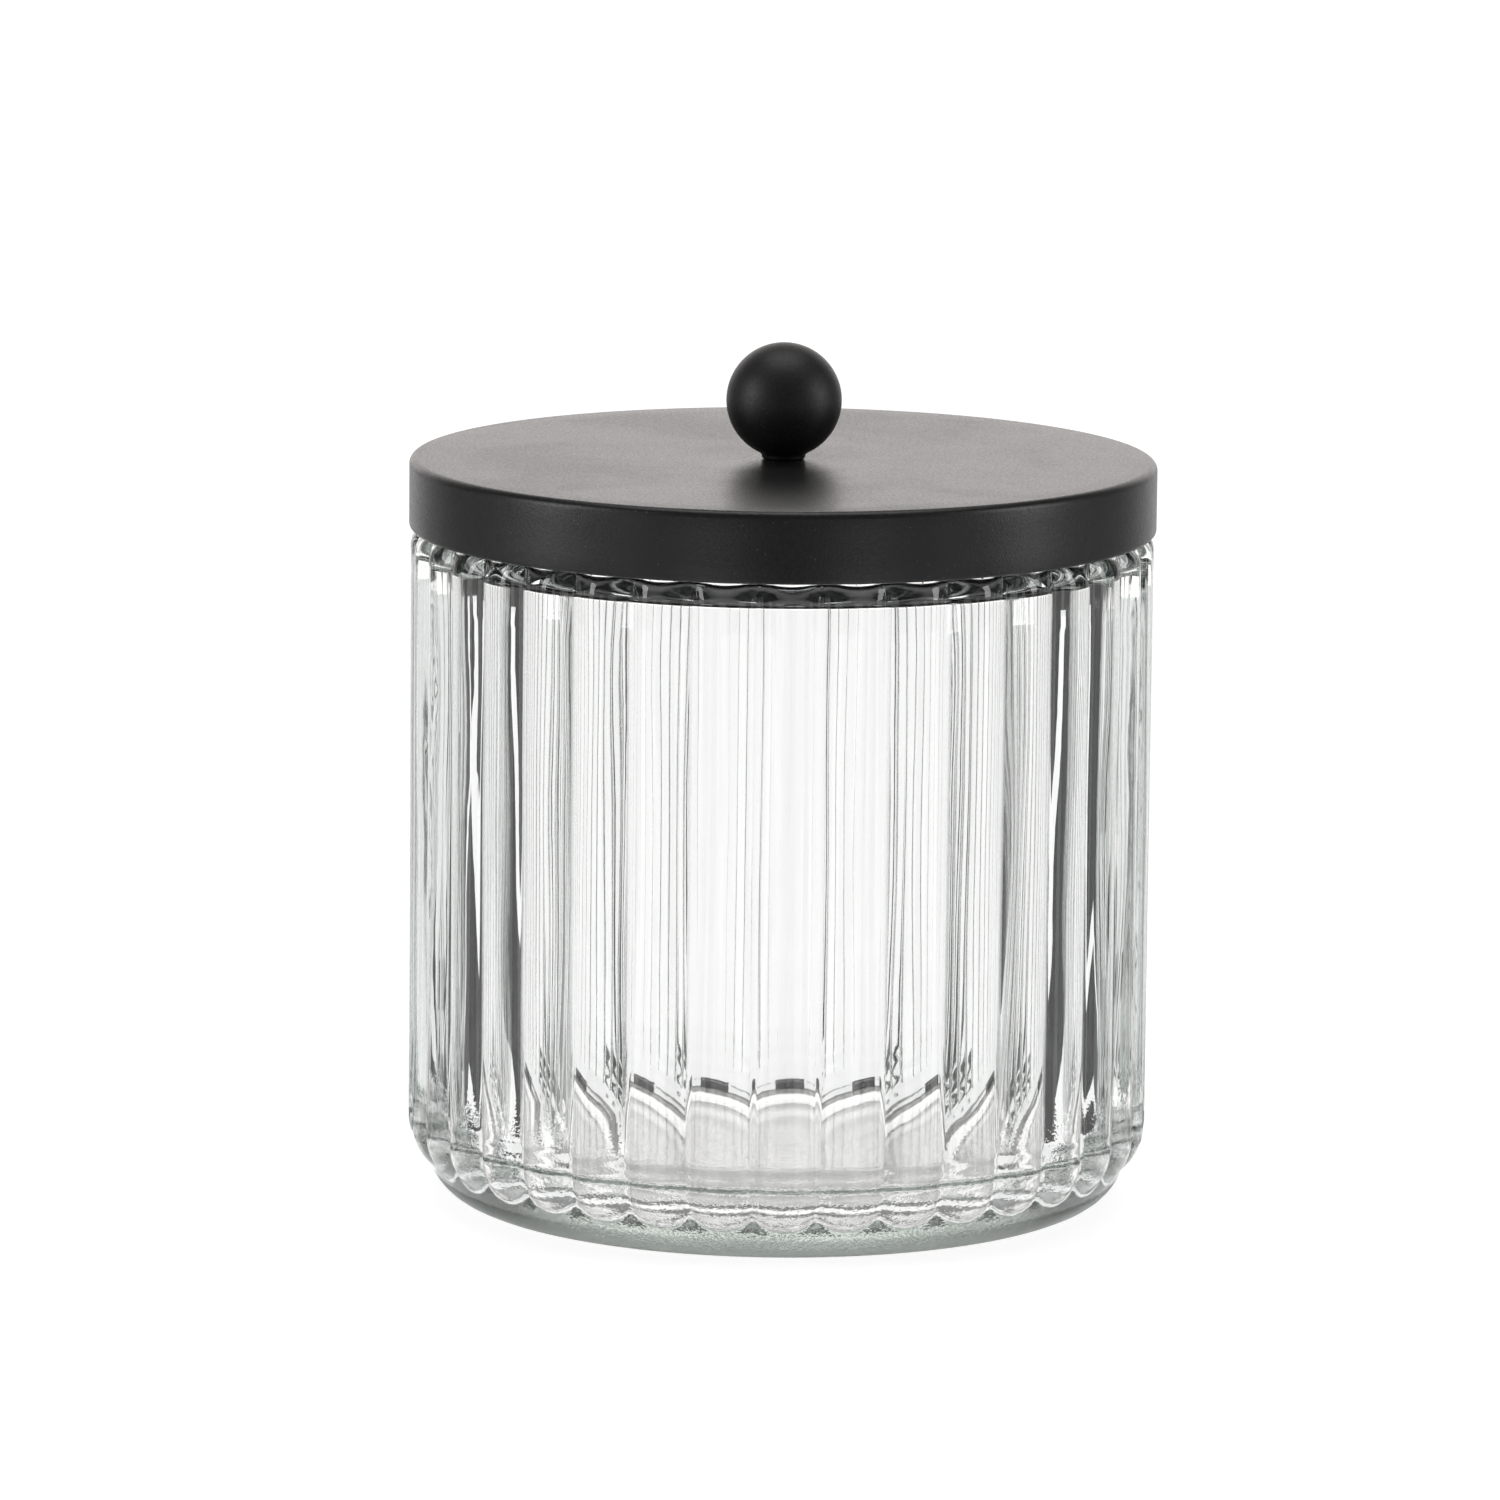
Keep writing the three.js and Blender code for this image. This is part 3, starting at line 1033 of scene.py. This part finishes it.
@dataclass
class Lid:
    """The pressed steel lid with its knob, screw and washer."""

    sheet: float = 0.6
    bend: float = 0.4
    hem_height: float = 2.4
    hem_slit: float = 0.05
    dish: float = 0.2
    dish_radius: float = 14.0
    screw_hole: float = 2.15
    collar: float = 2.9
    collar_fillet: float = 0.25
    neck_ease: float = 0.12  # how much wider the collar is where it leaves the ball
    hole_spare: float = 0.7  # depth of the knob's hole past the screw's tip
    drill_point: float = 1.1
    head_height: float = 3.1
    head_round: float = 2.0
    shank: float = 2.0
    screw_point: float = 0.6
    recess_depth: float = 1.9
    recess_arm: float = 2.2  # half length of the recess's arms
    recess_wall: float = 0.5  # half width of the recess's arms
    radius: float = field(init=False)
    top: float = field(init=False)
    bottom: float = field(init=False)

    def __post_init__(self) -> None:
        """Takes the overall sizes from the frame."""
        self.radius = node_radius("lid_shell")
        self.bottom, self.top = node_heights("lid_shell")

    def dished(self, flat: float, steps: int) -> Outline:
        """Gives the dip round the screw on a flat face.

        Args:
            flat: Height of the flat face.
            steps: Number of pieces that the dip is cut into.

        Returns:
            The points from the hole outwards.
        """
        points = []
        for i in range(steps + 1):
            radius = self.screw_hole + (self.dish_radius - self.screw_hole) * i / steps
            dip = self.dish * (1 + math.cos(math.pi * i / steps)) / 2
            points.append((radius, flat - dip))
        return points

    def section(self) -> Outline:
        """Gives the closed section of the sheet.

        Returns:
            The points from the hole over the top, round the hem and back inside.
        """
        skirt_inner = self.radius - self.sheet
        corner = self.bend + self.sheet
        under = self.top - self.sheet
        fold = self.sheet
        leg_outer = skirt_inner - self.hem_slit
        leg_inner = self.radius - 2 * self.sheet
        hem_top = self.bottom + self.hem_height
        edge = 0.15
        top_flat = between((self.dish_radius, self.top), (self.radius - corner, self.top), 8)
        under_flat = between((skirt_inner - self.bend, under), (self.dish_radius, under), 8)
        skirt = between((self.radius, self.top - corner), (self.radius, self.bottom + fold), 4)
        return [
            *self.dished(self.top, 12),
            *top_flat,
            *arc(self.radius - corner, self.top - corner, corner, corner, 90, 0, 8),
            *skirt,
            *arc(self.radius - fold, self.bottom + fold, fold, fold, 0, -180, 12),
            (leg_inner, hem_top - edge),
            (leg_inner + edge, hem_top),
            (leg_outer - edge, hem_top),
            (leg_outer, hem_top - edge),
            (leg_outer, self.bottom + 2 * fold),
            (skirt_inner, self.bottom + 2 * fold),
            *arc(skirt_inner - self.bend, under - self.bend, self.bend, self.bend, 0, 90, 5),
            *under_flat,
            *reversed(self.dished(under, 12)),
        ]

    def build_shell(self) -> bpy.types.Object:
        """Turns the pressed sheet."""
        bench = Bench.turned("lid_pressing", self.section(), 224, closed=True)
        return bench.finish(sharp_from=40.0)

    def build_knob(self) -> bpy.types.Object:
        """Shapes a ball into the knob: cut off below, drawn down to a collar and drilled.

        Returns:
            The finished knob.
        """
        bottom, top = node_heights("knob")
        screw_tip = node_heights("knob_screw")[1]
        ball = node_radius("knob")
        centre = top - ball
        neck = centre - math.sqrt(ball**2 - self.collar**2)
        fillet = self.collar_fillet
        Bench.clear()
        bpy.ops.mesh.primitive_uv_sphere_add(
            segments=96, ring_count=64, radius=ball * MM, location=(0, 0, centre * MM)
        )
        bench = Bench.named("ball_knob")
        bench.edit()
        bpy.ops.mesh.select_all(action="SELECT")
        bpy.ops.mesh.bisect(
            plane_co=(0, 0, (neck + fillet) * MM),
            plane_no=(0, 0, 1),
            clear_inner=True,
            threshold=WELD * MM / 10,
        )
        wide = math.sqrt(ball**2 - (centre - neck - fillet) ** 2)
        steps = [
            (neck, self.collar + self.neck_ease),
            (neck - fillet, self.collar),
            (bottom + fillet, self.collar),
            (bottom, self.collar - fillet),
            (bottom, self.screw_hole),
            (screw_tip + self.hole_spare, self.screw_hole),
        ]
        height, radius = neck + fillet, wide
        bench.pick(lambda place, level=height: abs(place.z - level) < NEAR)
        for new_height, new_radius in steps:
            rise = (new_height - height) * MM
            bpy.ops.mesh.extrude_region_move(TRANSFORM_OT_translate={"value": (0, 0, rise)})
            share = new_radius / radius
            middle = (0, 0, new_height * MM)
            bpy.ops.transform.resize(value=(share, share, 1), center_override=middle)
            height, radius = new_height, new_radius
        point = self.drill_point * MM
        bpy.ops.mesh.extrude_region_move(TRANSFORM_OT_translate={"value": (0, 0, point)})
        bpy.ops.mesh.merge(type="CENTER")
        bench.weld()
        return bench.finish(sharp_from=50.0)

    def build_screw(self) -> bpy.types.Object:
        """Shapes a pan head, draws the shank out of it and cuts the cross recess.

        Returns:
            The finished screw.
        """
        bottom, tip = node_heights("knob_screw")
        head = node_radius("knob_screw")
        head_top = bottom + self.head_height
        point = self.screw_point
        Bench.clear()
        bpy.ops.mesh.primitive_cylinder_add(
            vertices=64,
            radius=head * MM,
            depth=self.head_height * MM,
            location=(0, 0, (bottom + self.head_height / 2) * MM),
        )
        bench = Bench.named("lid_screw")
        bench.edit()
        bench.pick(lambda place: place.z > head_top - NEAR)
        shank = tip - point - head_top
        for rise, share in ((0.0, self.shank / head), (shank, 1.0), (point, 0.7)):
            up = (0, 0, rise * MM)
            bpy.ops.mesh.extrude_region_move(TRANSFORM_OT_translate={"value": up})
            bpy.ops.transform.resize(value=(share, share, 1), center_override=(0, 0, 0))
        bpy.ops.mesh.select_mode(type="EDGE")
        bpy.ops.mesh.select_all(action="DESELECT")
        mesh = bmesh.from_edit_mesh(bench.piece.data)
        for edge in mesh.edges:
            edge.select_set(all(vertex.co.z < (bottom + NEAR) * MM for vertex in edge.verts))
        bmesh.update_edit_mesh(bench.piece.data)
        bpy.ops.mesh.bevel(offset=self.head_round * MM, segments=8, affect="EDGES")
        bench.leave()
        cutter = self.build_recess(bottom)
        bpy.context.view_layer.objects.active = bench.piece
        bench.piece.select_set(True)
        bench.apply("BOOLEAN", operation="DIFFERENCE", object=cutter, solver="EXACT")
        bpy.data.objects.remove(cutter)
        Bench.clear()
        bench.piece.select_set(True)
        bpy.context.view_layer.objects.active = bench.piece
        return bench.finish(sharp_from=35.0)

    def build_recess(self, bottom: float) -> bpy.types.Object:
        """Makes the tapered cross that cuts the driver's recess.

        Args:
            bottom: Height of the screw head's lowest point.

        Returns:
            The cutter.
        """
        deep, arm, wall = self.recess_depth, self.recess_arm, self.recess_wall
        middle = (0, 0, (bottom + deep / 2) * MM)
        Bench.clear()
        blades = []
        for long_x, long_y in ((arm, wall), (wall, arm)):
            bpy.ops.mesh.primitive_cube_add(size=2 * MM, location=middle)
            bpy.context.object.scale = (long_x, long_y, deep)
            bench = Bench.named("blade")
            bench.edit()
            bench.pick(lambda place: place.z > bottom + deep)
            bpy.ops.transform.resize(value=(0.55, 0.55, 1), center_override=(0, 0, 0))
            bench.leave()
            blades.append(bench.piece)
            Bench.clear()
        for blade in blades:
            blade.select_set(True)
        bpy.context.view_layer.objects.active = blades[0]
        blades[0].modifiers.new("union", "BOOLEAN").object = blades[1]
        blades[0].modifiers["union"].operation = "UNION"
        bpy.ops.object.modifier_apply(modifier="union")
        bpy.data.objects.remove(blades[1])
        Bench.clear()
        return blades[0]

    def build_washer(self) -> bpy.types.Object:
        """Turns the flat washer with its stamped edges.

        Returns:
            The finished washer.
        """
        bottom, top = node_heights("screw_washer")
        outer, inner, edge = node_radius("screw_washer"), self.screw_hole, 0.12
        section = [
            (inner, bottom + edge),
            (inner + edge, bottom),
            (outer - edge, bottom),
            (outer, bottom + edge),
            (outer, top - edge),
            (outer - edge, top),
            (inner + edge, top),
            (inner, top - edge),
        ]
        return Bench.turned("lid_washer", section, 64, closed=True).finish(sharp_from=60.0)

    def build(
        self, coat: bpy.types.Material, knob_coat: bpy.types.Material, zinc: bpy.types.Material
    ) -> None:
        """Builds and dresses the lid's four pieces.

        Args:
            coat: The lid's black coat.
            knob_coat: The knob's black coat.
            zinc: The fasteners' plating.
        """
        for make, node, slot, material in (
            (self.build_shell, "lid_shell", Slot.BLACK_METAL, coat),
            (self.build_knob, "knob", Slot.BLACK_METAL, knob_coat),
            (self.build_screw, "knob_screw", Slot.ZINC_STEEL, zinc),
            (self.build_washer, "screw_washer", Slot.ZINC_STEEL, zinc),
        ):
            piece = make()
            dress(piece, material)
            settle(piece, Body.LID, node)


# ---------------------------------------------------------------------------------- seal ring


@dataclass
class SealRing:
    """The soft ring inside the lid: a flange on the rim and a finned plug in the mouth."""

    wall: float = 1.6
    fin_reach: float = 0.35
    fin_pitch: float = 1.9
    fin_count: int = 2
    fin_start: float = 1.2  # height of the lowest fin over the plug's foot
    fin_half: float = 0.55  # half height of a fin's root
    round_edge: float = 0.3
    plug: float = 42.15
    flange: float = 4.2

    def section(self) -> Outline:
        """Gives the ring's closed section.

        Returns:
            The points, counterclockwise from the plug's inner foot.
        """
        bottom, top = node_heights("lid_seal")
        outer = node_radius("lid_seal")
        inner = self.plug - self.wall
        soft = self.round_edge
        flange_bottom = top - self.flange
        points = arc(inner + soft, bottom + soft, soft, soft, 180, 270, 3)
        points += arc(self.plug - soft, bottom + soft, soft, soft, -90, 0, 3)
        for i in range(self.fin_count):
            middle = bottom + self.fin_start + i * self.fin_pitch
            points.append((self.plug, middle - self.fin_half))
            points += arc(self.plug, middle, self.fin_reach, 0.3, -60, 60, 4)
            points.append((self.plug, middle + self.fin_half))
        points += [(self.plug, flange_bottom)]
        points += arc(outer - soft, flange_bottom + soft, soft, soft, -90, 0, 3)
        points += arc(outer - soft, top - soft, soft, soft, 0, 90, 3)
        points += arc(inner + soft, top - soft, soft, soft, 90, 180, 3)
        return points

    def build(self, silicone: bpy.types.Material) -> None:
        """Builds and dresses the ring.

        Args:
            silicone: The ring's finish.
        """
        bench = Bench.turned("seal_ring", self.section(), 192, closed=True)
        piece = bench.finish(sharp_from=50.0)
        dress(piece, silicone)
        settle(piece, Body.SEAL, "lid_seal")


# ---------------------------------------------------------------------------------- studio


@dataclass
class Studio:
    """The pale floor, the soft lights and the camera."""

    distance: float = 1250.0
    elevation: float = 10.38
    azimuth: float = -1.4
    aim_height: float = 50.0
    turn: float = -0.186
    tilt: float = 0.434
    roll: float = 0.60
    lens: float = 225.1
    film: float = 36.0
    floor: float = 9.0  # radius in metres
    cards: tuple[tuple[float, float], ...] = (  # direction from the back and half width, degrees
        (38.0, 2.0),
        (47.0, 2.5),
        (59.0, 6.0),
        (74.0, 6.0),
        (90.0, 6.0),
        (120.0, 8.0),
        (142.0, 6.0),
        (180.0, 14.0),
    )
    card_near: float = 60.0  # where a card's foot starts, from the jar's axis
    card_far: float = 700.0  # where it turns upwards
    card_top: float = 900.0
    card_grey: float = 0.06
    lift: float = 0.3  # how far the cards stay off the floor
    layer: float = 0.02  # how far each ring lies over the one before
    # The rings are painted shadow: grey and dark sheets under and round the jar's foot, lit from within
    # and seen only in the glass, that stand for the jar's contact shadow.
    rings: tuple[tuple[float, float, float, float, float], ...] = (  # as cards, then radii, grey
        (0.0, 180.0, 0.0, 34.0, 0.40),
        (0.0, 180.0, 41.2, 47.0, 0.22),
        (-1.0, 17.0, 41.2, 50.4, 0.05),
    )
    softboxes: tuple[tuple[str, Colour, float, float, float], ...] = (  # place, size, watts
        ("left_softbox", (-1.5, -0.50, 0.50), 0.6, 1.0, 9.0),
        ("right_softbox", (1.55, -0.35, 0.50), 0.6, 1.0, 8.0),
        ("top_softbox", (0.0, 0.2, 1.9), 1.6, 1.2, 12.0),
    )

    @staticmethod
    def make_paper(name: str, tone: float, glow: float) -> bpy.types.Material:
        """Makes matt paper that is lit from within.

        Args:
            name: The material's name.
            tone: How much light the paper throws back.
            glow: How bright it is on its own.

        Returns:
            The finished material.
        """
        material, board = new_material(name)
        shader = board.put(
            board.add("BsdfPrincipled"),
            Base_Color=(tone, tone, tone, 1.0),
            Roughness=0.9,
            Emission_Color=(1.0, 1.0, 1.0, 1.0),
            Emission_Strength=glow,
        )
        close_material(board, shader)
        return material

    def build_floor(self) -> None:
        """Lays the pale floor."""
        Bench.clear()
        bpy.ops.mesh.primitive_circle_add(vertices=128, radius=self.floor, fill_type="NGON")
        bench = Bench.named("floor")
        dress(bench.piece, self.make_paper("pale_floor", 0.35, 0.86))
        bench.finish()

    def build_card(
        self, name: str, sector: tuple[float, float], grey: float, outline: Outline
    ) -> None:
        """Sets one card that only glass and gloss see.

        Args:
            name: Name of the card.
            sector: Its direction from the back and its half width, in degrees.
            grey: How bright it is.
            outline: Its section, from the jar outwards.
        """
        direction, spread = sector
        side = Matrix.Rotation(math.radians(spread - direction), 3, "Z")
        bench = Bench.line(name, [side @ Vector((0, away, high)) for away, high in outline])
        bench.spin(max(4, round(spread)), 2 * spread)
        bench.weld()
        card = bench.finish()
        dress(card, self.make_paper(name, 0.02, grey))
        card.visible_camera = False
        card.visible_diffuse = False
        card.visible_shadow = False

    def build_cards(self) -> None:
        """Stands dark cards round the jar and lays grey rings under it as painted shadow."""
        near, far = (self.card_near, self.lift), (self.card_far, self.lift)
        upright = [near, far, (self.card_far, self.card_top)]
        sectors = []
        for direction, spread in self.cards:
            sectors.append((direction, spread))
            if direction < 180.0:
                sectors.append((-direction, spread))
        for number, sector in enumerate(sectors):
            self.build_card(f"dark_card_{number}", sector, self.card_grey, upright)
        # Each ring is painted shadow: a grey or dark sheet under or just behind the foot that only the
        # glass sees.
        height = self.lift
        for number, (direction, spread, inner, outer, grey) in enumerate(self.rings, len(sectors)):
            height += self.layer
            flat = [(inner, height), (outer, height)]
            self.build_card(f"dark_card_{number}", (direction, spread), grey, flat)

    def build_world(self) -> None:
        """Sets the soft room light: pale behind the jar, darker where the viewer stands."""
        world = bpy.data.worlds.new("studio_room")
        world.use_nodes = True
        bpy.context.scene.world = world
        board = Board(world.node_tree)
        ray = board.put(
            board.add("SeparateXYZ"), Vector=board.add("TexCoord").outputs["Generated"]
        )
        dim, wall_light, ceiling_light = 0.1, 1.65, 0.3
        warm, white = (1.0, 0.965, 0.945, 1.0), (1.0, 1.0, 1.0, 1.0)
        rear = board.span(ray.outputs["Y"], 0.5, 1.0, smooth=True)
        low = board.span(ray.outputs["Z"], 0.3, 0.7, wall_light, ceiling_light, smooth=True)
        back = board.maths("MULTIPLY_ADD", rear, low, dim)
        seen = board.add("LightPath").outputs["Is Camera Ray"]
        strength = board.maths("MAXIMUM", back, seen)
        colour = board.blend(seen, warm, white)
        light = board.put(board.add("Background"), Color=colour, Strength=strength)
        exit_node = board.add("OutputWorld")
        board.put(exit_node, Surface=light.outputs[0])

    def build_light(
        self, name: str, place: Vector, width: float, tall: float, watts: float
    ) -> None:
        """Hangs one softbox that faces the jar.

        Args:
            name: Name of the light.
            place: Where its middle is, in metres.
            width: Its width in metres.
            tall: Its height in metres.
            watts: Its power.
        """
        lamp = bpy.data.lights.new(name, "AREA")
        lamp.shape = "RECTANGLE"
        lamp.size, lamp.size_y = width, tall
        lamp.energy = watts
        light = bpy.data.objects.new(name, lamp)
        bpy.context.scene.collection.objects.link(light)
        aim = Vector((0, 0, self.aim_height * MM)) - place
        facing = aim.to_track_quat("-Z", "Y").to_matrix().to_4x4()
        light.matrix_world = Matrix.Translation(place) @ facing

    def build_camera(self) -> None:
        """Sets up the camera: it looks at the jar's middle, then turns, tilts and rolls."""
        data = bpy.data.cameras.new("studio_camera")
        data.lens = self.lens
        data.sensor_width = self.film
        data.clip_end = 100.0
        camera = bpy.data.objects.new("studio_camera", data)
        bpy.context.scene.collection.objects.link(camera)
        high, round_by = math.radians(self.elevation), math.radians(self.azimuth)
        aim = Vector((0, 0, self.aim_height))
        level = Vector((math.sin(round_by), -math.cos(round_by), 0)) * math.cos(high)
        away = level + Vector((0, 0, math.sin(high)))
        looking = (-away).to_track_quat("-Z", "Y").to_matrix()
        looking = looking @ Matrix.Rotation(math.radians(-self.turn), 3, "Y")
        looking = looking @ Matrix.Rotation(math.radians(self.tilt), 3, "X")
        looking = looking @ Matrix.Rotation(math.radians(self.roll), 3, "Z")
        place = (aim + away * self.distance) * MM
        camera.matrix_world = Matrix.Translation(place) @ looking.to_4x4()
        bpy.context.scene.camera = camera

    def build(self) -> None:
        """Builds the whole studio."""
        self.build_floor()
        self.build_cards()
        self.build_world()
        for name, place, width, tall, watts in self.softboxes:
            self.build_light(name, Vector(place), width, tall, watts)
        self.build_camera()


def set_light_paths() -> None:
    """Lets enough light through the glass and shows tones as they are."""
    bpy.context.scene.view_settings.view_transform = "Standard"
    cycles = bpy.context.scene.cycles
    cycles.max_bounces = 24
    cycles.transmission_bounces = 24
    cycles.glossy_bounces = 12
    cycles.diffuse_bounces = 6
    cycles.use_denoising = True


def main() -> None:
    """Builds the jar, its lid and its seal, and then the studio round them."""
    logging.basicConfig(level=logging.INFO, format="%(name)s: %(message)s")
    effects = Effects()
    jar = GlassJar().build()
    dress(jar, PressedGlass().make(effects))
    settle(jar, Body.JAR, "glass_jar")
    SealRing().build(Silicone().make(effects))
    coat = PowderCoat().make(effects)
    knob_coat = PowderCoat(
        name="black_knob_coat", shine=0.46, dull=0.5, grain=0.28, relief=0.016
    ).make(effects)
    Lid().build(coat, knob_coat, ZincPlate().make(effects))
    Studio().build()
    set_light_paths()


if __name__ == "__main__":
    main()
